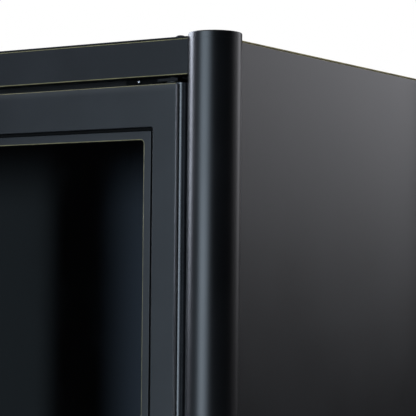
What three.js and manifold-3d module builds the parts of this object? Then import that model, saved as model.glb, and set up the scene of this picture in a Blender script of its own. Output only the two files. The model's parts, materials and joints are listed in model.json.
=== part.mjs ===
// A slim glass-door refrigerator with four round corner posts, in millimetres.
// +Z is up, the door faces -Y, and the origin is on the floor under the middle of the whole object.
import * as THREE from "three";
import { mergeVertices } from "three/addons/utils/BufferGeometryUtils.js";
import Module from "manifold-3d";

const wasm = await Module();
wasm.setup();

// Clearances
const GAP = 0.3; // between two pieces that rest on each other
const CUT = 0.4; // between a round post and the sheet notched round it

// Cabinet
const FRONT_Y = -239.5; // plane of the header rail and of the door's face
const REAR_Y = 249.5; // outer face of the rear panel
const SIDE_X = 234; // outer face of each side panel
const CABINET_TOP = 847;
const CABINET_BOTTOM = 36;
const TOP_SHEET = 1.5;
const SHEET = 1.2;

// Corner posts, caps and feet
const POST_X = 226.2;
const POST_RADIUS = 25.4;
const POST_WALL = 1.5;
const POST_INSET = 17; // a post's centre behind the front plane, or ahead of the rear one
const POST_BOTTOM = 16;
const POST_FLOOR = 4;
const CAP_TOP = 850;
const CAP_HEIGHT = 6.4;
const CAP_ROUND = 1.2;
const CAP_SPIGOT = 12;
const FOOT_RADIUS = 19;
const FOOT_PAD = 7;
const STEM_RADIUS = 5;
const STEM_TOP = 56;
const POST_SIDES = 32;

// Front rails
const HEADER_HEIGHT = 36;
const RAIL_RETURN = 15;
const KICK_TOP = 83;

// Door, measured inward from its outer edges and back from its face
const DOOR_HALF = 193.6;
const DOOR_TOP = 803.5;
const DOOR_BOTTOM = 92;
const STILE = 26.5;
const RAIL = 40.7;
const REVEAL = 3; // shadow groove between the frame and the glazing bead
const BEAD = 8.6;
const FRAME_DEPTH = 5;
const BEAD_SETBACK = 2;
const BODY_PROUD = 1; // how far the door's body stands above and below its front frame
const BODY_SIDE = 6.2; // and how far outside it at the left and right, rolled round by ROLL
const ROLL = 6.4;
const BODY_BACK = 35;
const GLASS = 4;
const OUTER_GLASS_AT = 6.5;
const INNER_GLASS_AT = 23.1;
const SEAL_FROM = 11;
const SEAL_TO = 27;

// Hinges: the door turns about one upright axis near its right edge
const HINGE_X = 184.3;
const HINGE_DEPTH = 12;
const PIN_RADIUS = 3.5;
const BUSH_RADIUS = 6;
const LEAF = 2.5;
const SCREW_RADIUS = 1.7;
const SCREW_HEAD = 2.7;

// Handle
const HANDLE_REACH = 38;
const HANDLE_RADIUS = 7;
const HANDLE_LOW = 360;
const HANDLE_HIGH = 600;

// Insulated box, measured back from the front plane
const BOX_FRONT = 45;
const LINER_WALL = 2;
const CAVITY_HALF = 166;
const CAVITY_FLOOR = 122;
const CAVITY_TOP = 773;
const CAVITY_REAR = 55; // ahead of the rear panel's outer face
const STEP_AHEAD = 215; // the raised floor over the compressor, ahead of the rear face
const STEP_FLOOR = 262;
const FOAM_FLOOR = 62;
const BAY_AHEAD = 177;
const BAY_TOP = 230;

// Shelves
const SHELF_LEVELS = { upper: 620, middle: 480, lower: 340 };
const SHELF_HALF = 163;
const SHELF_WIRE = 5;
const SHELF_BARS = 13;
const LEDGE = 6;

// Cooling system
const COMPRESSOR_X = 60;
const COMPRESSOR_AHEAD = 92;
const COMPRESSOR_RADIUS = 64;
const MOUNT_LOW = 50.3;
const TUBE_RADIUS = 3;
const COIL_BEHIND = 25;
const COIL_HALF = 160;
const COIL_PASSES = 12;
const COIL_LOW = 275;
const COIL_HIGH = 792;

const front = (depth) => FRONT_Y + depth;
const rear = (ahead) => REAR_Y - ahead;

// ---- Materials ----
const finish = (color, roughness, metalness) =>
  new THREE.MeshStandardMaterial({ color, roughness, metalness });
const BLACK_PAINT = finish(0x2b2f36, 0.42, 0.35);
const POST_PAINT = finish(0x24272e, 0.32, 0.4);
const STEEL = finish(0xa9adb2, 0.3, 1);
const ZINC = finish(0xb9bcc0, 0.38, 1);
const COPPER = finish(0xb4704a, 0.32, 1);
const TINTED_GLASS = finish(0x11161a, 0.06, 0);
const RUBBER = finish(0x17181a, 0.8, 0);
const BLACK_PLASTIC = finish(0x1d1e20, 0.55, 0);
const LINER_PLASTIC = finish(0x202225, 0.5, 0);
const WHITE_PLASTIC = finish(0xdfe2e2, 0.5, 0);
const FOAM = finish(0xd9c79a, 0.9, 0);
const COMPRESSOR_PAINT = finish(0x151617, 0.45, 0.2);

// ---- Shape helpers ----
function toSolid(geometry) {
  const bare = geometry.clone();
  bare.deleteAttribute("normal");
  bare.deleteAttribute("uv");
  const merged = mergeVertices(bare, 1e-4);
  return new wasm.Manifold(
    new wasm.Mesh({
      numProp: 3,
      vertProperties: merged.attributes.position.array,
      triVerts: new Uint32Array(merged.index.array),
    }),
  );
}

function toGeometry(solid) {
  const mesh = solid.getMesh();
  const geometry = new THREE.BufferGeometry();
  geometry.setAttribute("position", new THREE.BufferAttribute(mesh.vertProperties, 3));
  geometry.setIndex(new THREE.BufferAttribute(mesh.triVerts, 1));
  geometry.computeVertexNormals();
  return geometry;
}

const join = (first, ...others) => others.reduce((all, one) => all.add(one), first);
const cut = (first, ...others) => others.reduce((all, one) => all.subtract(one), first);

function box([x0, x1], [y0, y1], [z0, z1]) {
  const geometry = new THREE.BoxGeometry(x1 - x0, y1 - y0, z1 - z0);
  geometry.translate((x0 + x1) / 2, (y0 + y1) / 2, (z0 + z1) / 2);
  return toSolid(geometry);
}

// An upright turned shape at (x, y). The profile's points are [radius, height], anticlockwise.
function turned(x, y, profile, sides) {
  const points = profile.map(([r, z]) => new THREE.Vector2(r, z));
  const geometry = new THREE.LatheGeometry(points, sides);
  geometry.rotateX(Math.PI / 2);
  geometry.translate(x, y, 0);
  return toSolid(geometry);
}

function upright(x, y, radius, [z0, z1], sides) {
  return turned(x, y, [[0, z0], [radius, z0], [radius, z1], [0, z1]], sides);
}

// A round bar along Y.
function crosswise(x, z, radius, [y0, y1], sides) {
  const geometry = new THREE.CylinderGeometry(radius, radius, y1 - y0, sides);
  geometry.translate(x, (y0 + y1) / 2, z);
  return toSolid(geometry);
}

// A bent sheet or block: a closed outline of [y, z] points drawn out from x0 to x1.
function drawn(outline, [x0, x1]) {
  const shape = new THREE.Shape(outline.map(([y, z]) => new THREE.Vector2(y, z)));
  const geometry = new THREE.ExtrudeGeometry(shape, { depth: x1 - x0, bevelEnabled: false });
  const axes = [[0, 1, 0], [0, 0, 1], [1, 0, 0]].map((axis) => new THREE.Vector3(...axis));
  geometry.applyMatrix4(new THREE.Matrix4().makeBasis(...axes));
  geometry.translate(x0, 0, 0);
  return toSolid(geometry);
}

// A tube of the given radius along a curve.
function tube(curve, radius, steps, sides = 8) {
  const section = new THREE.Shape();
  for (let i = 0; i < sides; i++) {
    const angle = (2 * Math.PI * i) / sides;
    const point = [radius * Math.cos(angle), radius * Math.sin(angle)];
    if (i === 0) section.moveTo(...point);
    else section.lineTo(...point);
  }
  section.closePath();
  return toSolid(new THREE.ExtrudeGeometry(section, { steps, extrudePath: curve }));
}

// A tube whose middle line is a list of [x, z] points in the upright plane at y, mitred at each.
function flatTube(route, y, radius, sides = 8) {
  const middle = route.map(([x, z]) => new THREE.Vector2(x, z));
  const positions = [];
  const index = [];
  middle.forEach((point, i) => {
    const before = point.clone().sub(middle[Math.max(i - 1, 0)]).normalize();
    const after = middle[Math.min(i + 1, middle.length - 1)].clone().sub(point).normalize();
    const along = before.clone().add(after).normalize();
    const mitre = radius / Math.max(along.dot(before), along.dot(after));
    for (let side = 0; side < sides; side++) {
      const angle = (2 * Math.PI * side) / sides;
      const out = mitre * Math.cos(angle);
      positions.push(point.x - along.y * out, y + radius * Math.sin(angle), point.y + along.x * out);
    }
  });
  const ring = (i, side) => i * sides + (side % sides);
  for (let i = 0; i + 1 < middle.length; i++) {
    for (let side = 0; side < sides; side++) {
      const [a, b] = [ring(i, side), ring(i, side + 1)];
      const [c, d] = [ring(i + 1, side), ring(i + 1, side + 1)];
      index.push(a, c, b, b, c, d);
    }
  }
  const last = middle.length - 1;
  for (let side = 1; side + 1 < sides; side++) {
    index.push(ring(0, 0), ring(0, side), ring(0, side + 1));
    index.push(ring(last, 0), ring(last, side + 1), ring(last, side));
  }
  const geometry = new THREE.BufferGeometry();
  geometry.setAttribute("position", new THREE.Float32BufferAttribute(positions, 3));
  geometry.setIndex(index);
  return toSolid(geometry);
}

const smooth = (points) =>
  new THREE.CatmullRomCurve3(points.map((p) => new THREE.Vector3(...p)), false, "centripetal");

const fridge = new THREE.Group();
function piece(name, solid, material) {
  const mesh = new THREE.Mesh(toGeometry(solid), material);
  mesh.name = name;
  fridge.add(mesh);
}

// ---- Corner posts, caps and levelling feet ----
const CORNERS = [
  ["front_left", -POST_X, front(POST_INSET)],
  ["front_right", POST_X, front(POST_INSET)],
  ["rear_left", -POST_X, rear(POST_INSET)],
  ["rear_right", POST_X, rear(POST_INSET)],
];
const notches = join(
  ...CORNERS.map(([, x, y]) => upright(x, y, POST_RADIUS + CUT, [0, CAP_TOP + 1], POST_SIDES)),
);

function addCorner([corner, x, y]) {
  const postTop = CAP_TOP - CAP_HEIGHT - GAP;
  const inner = POST_RADIUS - POST_WALL;
  const stemHole = STEM_RADIUS + GAP;
  const post = [
    [stemHole, POST_BOTTOM],
    [POST_RADIUS, POST_BOTTOM],
    [POST_RADIUS, postTop],
    [inner, postTop],
    [inner, POST_BOTTOM + POST_FLOOR],
    [stemHole, POST_BOTTOM + POST_FLOOR],
    [stemHole, POST_BOTTOM],
  ];
  piece(`post_${corner}`, turned(x, y, post, POST_SIDES), POST_PAINT);

  const capBottom = CAP_TOP - CAP_HEIGHT;
  const round = [];
  for (const turn of [0, 45, 90]) {
    const angle = THREE.MathUtils.degToRad(turn);
    round.push([
      POST_RADIUS - CAP_ROUND + CAP_ROUND * Math.cos(angle),
      CAP_TOP - CAP_ROUND + CAP_ROUND * Math.sin(angle),
    ]);
  }
  const cap = [
    [0, capBottom - CAP_SPIGOT],
    [inner - GAP, capBottom - CAP_SPIGOT],
    [inner - GAP, capBottom],
    [POST_RADIUS, capBottom],
    ...round,
    [0, CAP_TOP],
  ];
  piece(`post_cap_${corner}`, turned(x, y, cap, POST_SIDES), POST_PAINT);

  const foot = [
    [0, 0],
    [FOOT_RADIUS - 1.5, 0],
    [FOOT_RADIUS, 1.5],
    [FOOT_RADIUS, FOOT_PAD - 2],
    [FOOT_RADIUS / 2, FOOT_PAD],
    [FOOT_RADIUS / 2, FOOT_PAD + 5],
    [STEM_RADIUS, FOOT_PAD + 5],
    [STEM_RADIUS, STEM_TOP],
    [0, STEM_TOP],
  ];
  piece(`foot_${corner}`, turned(x, y, foot, 24), BLACK_PLASTIC);
}
CORNERS.forEach(addCorner);

// ---- Outer sheets ----
function addSheets() {
  const underTop = CABINET_TOP - TOP_SHEET;
  const top = box([-SIDE_X, SIDE_X], [FRONT_Y, REAR_Y], [underTop, CABINET_TOP]);
  piece("top_panel", cut(top, notches), BLACK_PAINT);

  const high = underTop - GAP;
  for (const [side, sign] of [["left", -1], ["right", 1]]) {
    const span = (a, b) => [sign * a, sign * b].sort((m, n) => m - n);
    const run = [front(POST_INSET), rear(POST_INSET)];
    const skin = box(span(SIDE_X - SHEET, SIDE_X), run, [CABINET_BOTTOM, high]);
    const flange = box(span(SIDE_X - 14, SIDE_X - SHEET / 2), run, [high - SHEET, high]);
    piece(`side_panel_${side}`, cut(join(skin, flange), notches), BLACK_PAINT);
  }

  const back = box([-SIDE_X + 2, SIDE_X - 2], [rear(SHEET), REAR_Y], [BAY_TOP + 2, high - SHEET - GAP]);
  const stayEnd = REAR_Y + COIL_BEHIND - TUBE_RADIUS - GAP;
  const stays = [-120, 120].map((x) =>
    box([x - 1, x + 1], [rear(SHEET / 2), stayEnd], [COIL_LOW - 8, COIL_HIGH + 8]),
  );
  piece("rear_panel", join(cut(back, notches), ...stays), ZINC);

  const panRun = [front(RAIL_RETURN + 1), rear(1)];
  const pan = join(
    box([-SIDE_X + 2, SIDE_X - 2], panRun, [CABINET_BOTTOM, CABINET_BOTTOM + 1.5]),
    box([-192, -120], [rear(2.5), rear(1)], [CABINET_BOTTOM, 92]),
  );
  const socketHole = box([-170, -142], [rear(4), rear(0)], [56, 77]);
  piece("base_pan", cut(pan, notches, socketHole), ZINC);
}
addSheets();

// ---- Header rail and ventilated kick rail ----
function addRails() {
  const half = POST_X;
  const top = CABINET_TOP - TOP_SHEET - GAP;
  const low = CABINET_TOP - HEADER_HEIGHT;
  const header = join(
    box([-half, half], [FRONT_Y, front(1.5)], [low, top]),
    box([-half, half], [FRONT_Y, front(RAIL_RETURN)], [low, low + SHEET]),
    box([-half, half], [FRONT_Y, front(30)], [top - SHEET, top]),
  );
  piece("header_rail", cut(header, notches), BLACK_PAINT);

  const kick = join(
    box([-half, half], [FRONT_Y, front(1.5)], [CABINET_BOTTOM, KICK_TOP]),
    box([-half, half], [FRONT_Y, front(RAIL_RETURN)], [KICK_TOP - SHEET, KICK_TOP]),
    box([-half, half], [FRONT_Y, front(RAIL_RETURN)], [CABINET_BOTTOM, CABINET_BOTTOM + SHEET]),
  );
  const slots = [];
  for (const row of [50, 59, 68]) {
    for (let column = -4; column <= 4; column++) {
      const middle = column * 38;
      slots.push(box([middle - 15, middle + 15], [front(-1), front(3)], [row - 2, row + 2]));
    }
  }
  piece("kick_rail", cut(kick, notches, ...slots), BLACK_PAINT);
}
addRails();

// ---- Hinge brackets, pin and screws ----
const SCREWS = {
  top: [[120.5, 812.6], [152, 825]],
  bottom: [[120.5, 73], [152, 79]],
};
const screwHoles = [...SCREWS.top, ...SCREWS.bottom].map(([x, z]) =>
  crosswise(x, z, SCREW_RADIUS + GAP, [front(38), front(62)], 12),
);
const hingeAt = [HINGE_X, front(HINGE_DEPTH)];

function addHinges() {
  const leafFront = HINGE_DEPTH - 8.5;
  const plate = [front(BOX_FRONT - GAP - LEAF), front(BOX_FRONT - GAP)];
  const across = [170, 193];
  const topLeaf = [806, 806 + LEAF];
  const top = join(
    box(across, [front(leafFront), plate[1]], topLeaf),
    box([105, across[1]], plate, [topLeaf[0], 834]),
  );
  const pinHole = upright(...hingeAt, PIN_RADIUS + GAP, [780, 820], 20);
  piece("hinge_bracket_top", cut(top, pinHole, ...screwHoles), BLACK_PAINT);
  const pin = [
    [0, 785],
    [PIN_RADIUS, 785],
    [PIN_RADIUS, topLeaf[1] + GAP],
    [6.5, topLeaf[1] + GAP],
    [6.5, topLeaf[1] + 1.9],
    [0, topLeaf[1] + 1.9],
  ];
  piece("hinge_pin_top", turned(...hingeAt, pin, 20), BLACK_PAINT);

  const lowLeaf = [87, 87 + LEAF];
  const bottom = join(
    box(across, [front(leafFront), plate[1]], lowLeaf),
    box([105, across[1]], plate, [65, lowLeaf[1]]),
    upright(...hingeAt, PIN_RADIUS, [lowLeaf[0], 110], 20),
  );
  piece("hinge_bracket_bottom", cut(bottom, ...screwHoles), BLACK_PAINT);

  for (const end of ["top", "bottom"]) {
    SCREWS[end].forEach(([x, z], index) => {
      const screw = join(
        crosswise(x, z, SCREW_HEAD, [plate[0] - GAP - 1.8, plate[0] - GAP], 16),
        crosswise(x, z, SCREW_RADIUS, [plate[0] - GAP - 1, front(60)], 12),
      );
      piece(`hinge_screw_${end}_${index + 1}`, screw, STEEL);
    });
  }
}
addHinges();

// ---- Insulated box ----
// The outline of the cavity, [y, z], with its floor raised over the compressor, grown outward.
function cavityOutline(grow, frontY) {
  const back = rear(CAVITY_REAR) + grow;
  const step = rear(STEP_AHEAD) + grow;
  return [
    [frontY, CAVITY_FLOOR - grow],
    [step, CAVITY_FLOOR - grow],
    [step, STEP_FLOOR - grow],
    [back, STEP_FLOOR - grow],
    [back, CAVITY_TOP + grow],
    [frontY, CAVITY_TOP + grow],
  ];
}

function addInsulation() {
  const flangeBack = front(BOX_FRONT + LINER_WALL);
  const shell = (grow, frontY) =>
    drawn(cavityOutline(grow, frontY), [-CAVITY_HALF - grow, CAVITY_HALF + grow]);
  const flange = box([-SIDE_X + 2, SIDE_X - 2], [front(BOX_FRONT), flangeBack], [FOAM_FLOOR, 843]);
  const ledges = [];
  for (const level of Object.values(SHELF_LEVELS)) {
    for (const sign of [-1, 1]) {
      const x = [sign * (CAVITY_HALF - LEDGE), sign * (CAVITY_HALF + 1)].sort((a, b) => a - b);
      ledges.push(box(x, [front(60), rear(70)], [level - GAP - 5, level - GAP]));
    }
  }
  const shellFront = front(BOX_FRONT + LINER_WALL / 2);
  const hollow = shell(0, front(BOX_FRONT - 1));
  const tray = cut(join(flange, shell(LINER_WALL, shellFront)), hollow);
  piece("inner_liner", cut(join(tray, ...ledges), ...screwHoles), LINER_PLASTIC);

  const foamFront = flangeBack + GAP;
  const bayFront = rear(BAY_AHEAD + 1) - GAP;
  const foamBlock = drawn(
    [
      [foamFront, FOAM_FLOOR + 1 + GAP],
      [bayFront, FOAM_FLOOR + 1 + GAP],
      [bayFront, BAY_TOP + 1 + GAP],
      [rear(SHEET + GAP), BAY_TOP + 1 + GAP],
      [rear(SHEET + GAP), 842.5],
      [foamFront, 842.5],
    ],
    [-SIDE_X + 2, SIDE_X - 2],
  );
  const pocket = shell(LINER_WALL + GAP, foamFront - 1);
  piece("insulation", cut(foamBlock, pocket, notches, ...screwHoles), FOAM);

  const plate = drawn(
    [
      [foamFront, FOAM_FLOOR],
      [rear(BAY_AHEAD), FOAM_FLOOR],
      [rear(BAY_AHEAD), BAY_TOP],
      [rear(2), BAY_TOP],
      [rear(2), BAY_TOP + 1],
      [rear(BAY_AHEAD + 1), BAY_TOP + 1],
      [rear(BAY_AHEAD + 1), FOAM_FLOOR + 1],
      [foamFront, FOAM_FLOOR + 1],
    ],
    [-SIDE_X + 2, SIDE_X - 2],
  );
  piece("bay_plate", cut(plate, notches), ZINC);
}
addInsulation();

// ---- Door ----
// A block or ring of the door: insets from its sides and from its top and bottom, and its depth.
function doorBlock(side, rail, [near, far]) {
  return box(
    [-DOOR_HALF + side, DOOR_HALF - side],
    [front(near), front(far)],
    [DOOR_BOTTOM + rail, DOOR_TOP - rail],
  );
}

function doorRing([sideOut, sideIn], [railOut, railIn], [near, far]) {
  return cut(doorBlock(sideOut, railOut, [near, far]), doorBlock(sideIn, railIn, [near - 1, far + 1]));
}

function addDoor() {
  piece("door_frame", doorRing([0, STILE], [0, RAIL], [0, FRAME_DEPTH]), BLACK_PAINT);
  const beadSide = [STILE + REVEAL, STILE + REVEAL + BEAD];
  const beadRail = [RAIL + REVEAL, RAIL + REVEAL + BEAD];
  const beadDepth = [BEAD_SETBACK, OUTER_GLASS_AT - GAP];
  piece("glazing_bead", doorRing(beadSide, beadRail, beadDepth), BLACK_PAINT);

  const pane = (name, near) =>
    piece(name, doorBlock(STILE + 4.5, RAIL + 4.5, [near, near + GLASS]), TINTED_GLASS);
  pane("outer_glass", OUTER_GLASS_AT);
  pane("inner_glass", INNER_GLASS_AT);
  const between = [OUTER_GLASS_AT + GLASS + GAP, INNER_GLASS_AT - GAP];
  piece("glass_spacer", doorRing([STILE + 5, STILE + 10.5], [RAIL + 5, RAIL + 10.5], between), STEEL);

  const bodyFront = FRAME_DEPTH + GAP;
  const pocketBack = INNER_GLASS_AT + GLASS + GAP;
  const bushHole = [DOOR_BOTTOM - 2, DOOR_TOP + 2].map((z) =>
    upright(...hingeAt, BUSH_RADIUS + GAP, [z - 22, z + 22], 20),
  );
  const rolls = [-1, 1].map((sign) => {
    const x = sign * (DOOR_HALF + BODY_SIDE - ROLL);
    return upright(x, front(bodyFront + ROLL), ROLL, [DOOR_BOTTOM - BODY_PROUD, DOOR_TOP + BODY_PROUD], 48);
  });
  const body = cut(
    join(
      doorBlock(-BODY_SIDE, -BODY_PROUD, [bodyFront + ROLL, BODY_BACK]),
      doorBlock(ROLL - BODY_SIDE, -BODY_PROUD, [bodyFront, BODY_BACK]),
      ...rolls,
    ),
    doorBlock(STILE, RAIL, [0, OUTER_GLASS_AT - 0.15]),
    doorBlock(STILE + 4.2, RAIL + 4.2, [0, pocketBack]),
    doorBlock(STILE + 9, RAIL + 9, [0, BODY_BACK + 1]),
    ...bushHole,
  );
  piece("door_body", body, BLACK_PLASTIC);

  const sealInset = [SEAL_FROM, SEAL_TO];
  piece("door_seal", doorRing(sealInset, sealInset, [BODY_BACK + GAP, BOX_FRONT - GAP]), RUBBER);

  for (const [end, rim, inward] of [
    ["top", DOOR_TOP + BODY_PROUD + GAP, -1],
    ["bottom", DOOR_BOTTOM - BODY_PROUD - GAP, 1],
  ]) {
    const bore = PIN_RADIUS + GAP;
    const ring = [
      [bore, rim + inward * 19],
      [BUSH_RADIUS, rim + inward * 19],
      [BUSH_RADIUS, rim],
      [8, rim],
      [8, rim - inward * 0.9],
      [bore, rim - inward * 0.9],
      [bore, rim + inward * 19],
    ];
    if (inward > 0) ring.reverse();
    piece(`hinge_bush_${end}`, turned(...hingeAt, ring, 20), BLACK_PLASTIC);
  }

  const handleX = -DOOR_HALF + STILE / 2;
  const barY = front(HANDLE_RADIUS - HANDLE_REACH);
  const bar = upright(handleX, barY, HANDLE_RADIUS, [HANDLE_LOW, HANDLE_HIGH], 20);
  const standoffs = [HANDLE_LOW + 25, HANDLE_HIGH - 25].map((z) =>
    crosswise(handleX, z, 5, [barY, front(-GAP)], 16),
  );
  piece("door_handle", join(bar, ...standoffs), BLACK_PAINT);
}
addDoor();

// ---- Shelves ----
function addShelves() {
  const near = front(62);
  const far = rear(72);
  for (const [name, level] of Object.entries(SHELF_LEVELS)) {
    const rims = [near, far - SHELF_WIRE].map((y) =>
      box([-SHELF_HALF, SHELF_HALF], [y, y + SHELF_WIRE], [level, level + SHELF_WIRE]),
    );
    const bars = [];
    for (let i = 0; i < SHELF_BARS; i++) {
      const middle = (i / (SHELF_BARS - 1) - 0.5) * 2 * (SHELF_HALF - SHELF_WIRE / 2);
      const x = [middle - SHELF_WIRE / 2, middle + SHELF_WIRE / 2];
      bars.push(box(x, [near + 1, far - 1], [level, level + SHELF_WIRE]));
    }
    piece(`shelf_${name}`, join(...rims, ...bars), STEEL);
  }
}
addShelves();

// ---- Evaporator plate, control box, thermostat knob, lamp and its switch ----
function addInterior() {
  const wall = rear(CAVITY_REAR);
  const plate = box([-130, 130], [wall - 8, wall - 5], [400, 700]);
  const studs = [-100, 100].flatMap((x) =>
    [430, 670].map((z) => crosswise(x, z, 5, [wall - 6, wall - GAP], 12)),
  );
  piece("evaporator_plate", join(plate, ...studs), STEEL);

  const boxFront = front(120);
  const ceiling = CAVITY_TOP - GAP;
  const housing = drawn(
    [
      [boxFront, ceiling - 34],
      [boxFront + 90, ceiling - 34],
      [boxFront + 110, ceiling - 16],
      [boxFront + 110, ceiling],
      [boxFront, ceiling],
    ],
    [-85, 85],
  );
  const spindleHole = crosswise(35, ceiling - 17, 3.5, [boxFront - 1, boxFront + 14], 16);
  const switchPocket = box([-52, -28], [boxFront - 1, boxFront + 9], [ceiling - 24.5, ceiling - 9.5]);
  const lensPocket = box([-40, 40], [boxFront + 22, boxFront + 68], [ceiling - 35, ceiling - 31]);
  piece("control_box", cut(housing, spindleHole, switchPocket, lensPocket), BLACK_PLASTIC);

  const knob = join(
    crosswise(35, ceiling - 17, 13, [boxFront - 12, boxFront - GAP], 28),
    crosswise(35, ceiling - 17, 3.2, [boxFront - 1, boxFront + 13], 16),
    box([34, 36], [boxFront - 13.5, boxFront - 11], [ceiling - 17, ceiling - 5]),
  );
  piece("thermostat_knob", knob, BLACK_PLASTIC);

  const middle = ceiling - 17;
  const rocker = drawn(
    [
      [boxFront - 1, middle - 6.2],
      [boxFront + 6, middle - 5],
      [boxFront + 6, middle + 5],
      [boxFront - 1, middle + 6.2],
      [boxFront - 1.9, middle + 6],
      [boxFront - 0.8, middle],
      [boxFront - 1.9, middle - 6],
    ],
    [-51, -29],
  );
  piece("lamp_switch", rocker, BLACK_PLASTIC);
  const lens = box([-39.5, 39.5], [boxFront + 22.5, boxFront + 67.5], [ceiling - 35.5, ceiling - 31.4]);
  piece("lamp_lens", lens, WHITE_PLASTIC);
}
addInterior();

// ---- Compressor and refrigerant circuit ----
function addCompressor() {
  const x = COMPRESSOR_X;
  const y = rear(COMPRESSOR_AHEAD);
  const grommets = [[-85, -40], [-85, 40], [85, -40], [85, 40]].map(([dx, dy]) => [x + dx, y + dy]);
  const plateHoles = grommets.map(([gx, gy]) => upright(gx, gy, 5.3, [40, 60], 16));
  const plate = box([x - 98, x + 98], [y - 52, y + 52], [MOUNT_LOW, MOUNT_LOW + 2.5]);
  piece("compressor_plate", cut(plate, ...plateHoles), ZINC);

  const low = CABINET_BOTTOM + 1.5 + GAP;
  grommets.forEach(([gx, gy], index) => {
    const profile = [
      [0, low],
      [9, low],
      [9, MOUNT_LOW - GAP],
      [5, MOUNT_LOW - GAP],
      [5, MOUNT_LOW + 2.8],
      [8, MOUNT_LOW + 2.8],
      [8, MOUNT_LOW + 5.5],
      [0, MOUNT_LOW + 5.5],
    ];
    piece(`compressor_grommet_${index + 1}`, turned(gx, gy, profile, 16), RUBBER);
  });

  const r = COMPRESSOR_RADIUS;
  const base = MOUNT_LOW + 2.5 + GAP;
  const shell = [
    [0, base],
    [r * 0.72, base],
    [r * 0.95, base + 14],
    [r, base + 32],
    [r, base + 72],
    [r + 3, base + 74],
    [r + 3, base + 80],
    [r, base + 82],
    [r * 0.95, base + 104],
    [r * 0.75, base + 124],
    [r * 0.4, base + 134],
    [0, base + 137],
  ];
  piece("compressor", turned(x, y, shell, 28), COMPRESSOR_PAINT);
  const cover = box([x - r - 38, x - r - 3.5], [y - 26, y + 26], [base + 30, base + 92]);
  piece("terminal_cover", cover, BLACK_PLASTIC);
}
addCompressor();

function addCircuit() {
  const coilY = REAR_Y + COIL_BEHIND;
  const pitch = (COIL_HIGH - COIL_LOW) / (COIL_PASSES - 1);
  const turn = pitch / 2;
  const route = [];
  for (let pass = 0; pass < COIL_PASSES; pass++) {
    const side = pass % 2 === 0 ? -1 : 1;
    const z = COIL_LOW + pass * pitch;
    route.push([-side * COIL_HALF, z], [side * COIL_HALF, z]);
    if (pass === COIL_PASSES - 1) break;
    for (const degrees of [-45, 0, 45]) {
      const angle = THREE.MathUtils.degToRad(degrees);
      route.push([
        side * (COIL_HALF + turn * Math.cos(angle)),
        z + turn + turn * Math.sin(angle),
      ]);
    }
  }
  piece("condenser_coil", flatTube(route, coilY, TUBE_RADIUS), BLACK_PAINT);

  const shellY = rear(COMPRESSOR_AHEAD);
  const outlet = COMPRESSOR_X + COMPRESSOR_RADIUS + GAP;
  const discharge = smooth([
    [outlet, shellY, 110],
    [outlet + 14, shellY, 110],
    [outlet + 32, shellY + 20, 116],
    [outlet + 46, shellY + 62, 150],
    [outlet + 46, coilY - 16, 205],
    [outlet + 47, coilY - 1.5, 235],
    [outlet + 46, coilY - 0.6, COIL_LOW - 20],
    [outlet + 42, coilY - 0.4, COIL_LOW - 5],
    [COIL_HALF + 2.5, coilY - 0.4, COIL_LOW],
  ]);
  piece("discharge_pipe", tube(discharge, TUBE_RADIUS, 22), COPPER);

  const suction = smooth([
    [COMPRESSOR_X - 30, shellY + 62, 120],
    [COMPRESSOR_X - 34, shellY + 72, 124],
    [COMPRESSOR_X - 46, shellY + 76, 150],
    [COMPRESSOR_X - 52, shellY + 66, 190],
    [COMPRESSOR_X - 52, shellY + 66, BAY_TOP - 2],
  ]);
  piece("suction_pipe", tube(suction, 4, 14), COPPER);

  piece(
    "filter_drier",
    turned(
      -130,
      rear(45),
      [[0, 104], [3, 104], [3, 116], [9, 124], [9, 180], [3, 188], [3, 200], [0, 200]],
      16,
    ),
    COPPER,
  );
}

addCircuit();

// ---- Drip tray and mains inlet ----
function addBayPieces() {
  const x = [10, 120];
  const y = [rear(150), rear(50)];
  const z = [200, 224];
  const tray = cut(
    box(x, y, z),
    box([x[0] + 2, x[1] - 2], [y[0] + 2, y[1] - 2], [z[0] + 2, z[1] + 1]),
  );
  piece("drip_tray", tray, BLACK_PLASTIC);

  const inlet = cut(
    join(
      box([-169.5, -142.5], [rear(22), rear(0.5)], [56.5, 76.5]),
      box([-175, -137], [rear(0.7), rear(-2)], [53, 80]),
    ),
    box([-166.5, -145.5], [rear(18), rear(-3)], [59.5, 73.5]),
  );
  const pins = [-161.5, -156, -150.5].map((px) =>
    box([px - 1, px + 1], [rear(18.5), rear(4)], [65.5, 68.5]),
  );
  piece("mains_inlet", join(inlet, ...pins), BLACK_PLASTIC);
}
addBayPieces();

export default fridge;
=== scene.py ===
import json
from math import cos, degrees, pi, radians, sin

import bmesh
import bpy
from mathutils import Matrix, Quaternion, Vector

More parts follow.
